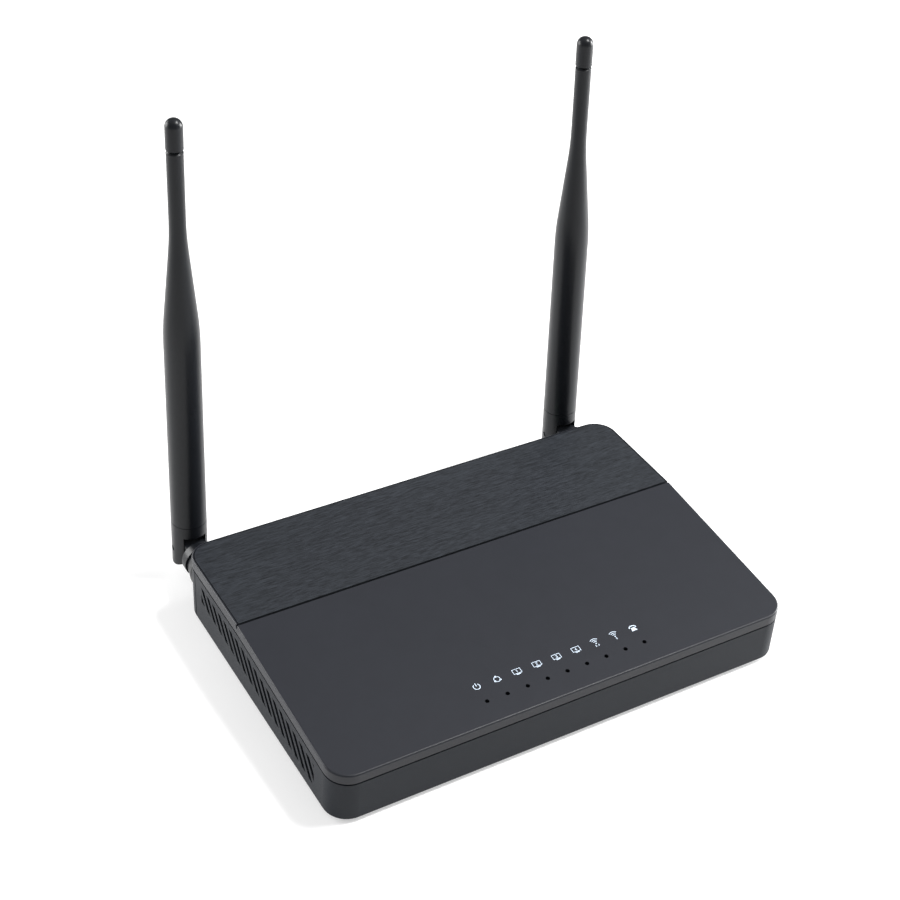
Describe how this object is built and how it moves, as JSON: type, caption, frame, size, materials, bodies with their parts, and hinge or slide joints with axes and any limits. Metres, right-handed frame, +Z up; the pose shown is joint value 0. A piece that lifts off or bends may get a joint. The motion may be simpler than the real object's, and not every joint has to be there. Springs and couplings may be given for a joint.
{
  "type": "optical network terminal",
  "caption": "Low sloping network terminal case with a row of indicator lamps, side vents, rear sockets and hinged whip antennas on its rear wall.",
  "frame": {"origin": "on the surface the feet stand on, under the middle of the whole part's box", "axes": "+Z up, front of the case towards -Y, antennas behind at +Y, X is the width"},
  "size_m": [0.205, 0.1638, 0.2116],
  "materials": {
    "case_plastic": "fine matte texture",
    "cover_plastic": "fine matte texture",
    "brushed_panel": "hairline brushed",
    "rubber": "matt",
    "rating_plate": "satin film, blank",
    "steel": "zinc plated",
    "circuit_board": "solder mask",
    "jack_plastic": "moulded",
    "phone_plastic": "moulded grey",
    "gold_contact": "gold plated",
    "fibre_plastic": "moulded green",
    "ceramic": "polished ceramic",
    "nickel": "nickel plated",
    "button_plastic": "satin",
    "switch_plastic": "moulded",
    "chip_plastic": "moulded epoxy",
    "thermal_pad": "soft silicone",
    "anodised_aluminium": "extruded",
    "tinned_steel": "tinned sheet",
    "capacitor_sleeve": "printed sleeve, blank",
    "ferrite": "ferrite",
    "lamp_lens": "clear epoxy",
    "light_guide": "clear acrylic",
    "fibre_jacket": "tight buffer",
    "antenna_plastic": "fine satin texture",
    "pin_plastic": "moulded",
    "brass_element": "plain",
    "coax_jacket": "smooth"
  },
  "bodies": {
    "case": {"base_shell": "case_plastic", "rear_panel": "case_plastic", "top_cover": "cover_plastic", "brushed_panel": "brushed_panel", "rubber_feet": "rubber", "rating_plate": "rating_plate", "case_screws": "steel", "board_screws": "steel", "main_board": "circuit_board", "lan_jack_1": "jack_plastic", "lan_jack_2": "jack_plastic", "lan_jack_3": "jack_plastic", "lan_jack_4": "jack_plastic", "phone_jack": "phone_plastic", "jack_contacts": "gold_contact", "fibre_adapter": "fibre_plastic", "ferrule_sleeve": "ceramic", "power_jack": "jack_plastic", "power_pin": "nickel", "power_switch": "switch_plastic", "wireless_switch": "switch_plastic", "reset_switch": "switch_plastic", "processor": "chip_plastic", "memory_chips": "chip_plastic", "radio_chips": "chip_plastic", "thermal_pad": "thermal_pad", "heat_sink": "anodised_aluminium", "radio_shield_left": "tinned_steel", "radio_shield_right": "tinned_steel", "lan_transformers": "chip_plastic", "capacitors": "capacitor_sleeve", "power_inductors": "ferrite", "optical_module": "tinned_steel", "indicator_lamps": "lamp_lens", "light_guide": "light_guide", "fibre_pigtail": "fibre_jacket", "antenna_connectors": "nickel", "left_antenna_socket": "antenna_plastic", "left_antenna_lead": "coax_jacket", "right_antenna_socket": "antenna_plastic", "right_antenna_lead": "coax_jacket"},
    "left_swivel": {"left_antenna_knuckle": "antenna_plastic", "left_retaining_clip": "steel"},
    "left_whip": {"left_antenna_fork": "antenna_plastic", "left_hinge_pin": "pin_plastic", "left_antenna_whip": "antenna_plastic", "left_antenna_cap": "antenna_plastic", "left_antenna_element": "brass_element"},
    "right_swivel": {"right_antenna_knuckle": "antenna_plastic", "right_retaining_clip": "steel"},
    "right_whip": {"right_antenna_fork": "antenna_plastic", "right_hinge_pin": "pin_plastic", "right_antenna_whip": "antenna_plastic", "right_antenna_cap": "antenna_plastic", "right_antenna_element": "brass_element"},
    "power_button": {"power_button": "button_plastic"},
    "wireless_button": {"wireless_button": "button_plastic"},
    "reset_button": {"reset_button": "button_plastic"}
  },
  "joints": [
    {"name": "left_antenna_swivel", "type": "hinge", "parent": "case", "child": "left_swivel", "pos_m": [-0.0924, 0.0549, 0.0151], "axis": [0, -1, 0], "range_deg": [-24.4, 90.6]},
    {"name": "left_antenna_tilt", "type": "hinge", "parent": "left_swivel", "child": "left_whip", "pos_m": [-0.0924, 0.0744, 0.0151], "axis": [-0.9999, 0, 0.0105], "range_deg": [0, 90]},
    {"name": "right_antenna_swivel", "type": "hinge", "parent": "case", "child": "right_swivel", "pos_m": [0.0924, 0.0549, 0.0151], "axis": [0, 1, 0], "range_deg": [-22.9, 92.1]},
    {"name": "right_antenna_tilt", "type": "hinge", "parent": "right_swivel", "child": "right_whip", "pos_m": [0.0924, 0.0744, 0.0151], "axis": [-0.9993, 0, -0.0366], "range_deg": [0, 90]},
    {"name": "power_button_press", "type": "slide", "parent": "case", "child": "power_button", "axis": [0, -1, 0], "range_m": [0, 0.002], "stiffness_N_per_m": 300},
    {"name": "wireless_button_press", "type": "slide", "parent": "case", "child": "wireless_button", "axis": [0, -1, 0], "range_m": [0, 0.0006], "stiffness_N_per_m": 700},
    {"name": "reset_button_press", "type": "slide", "parent": "case", "child": "reset_button", "axis": [0, -1, 0], "range_m": [0, 0.0004], "stiffness_N_per_m": 700}
  ]
}
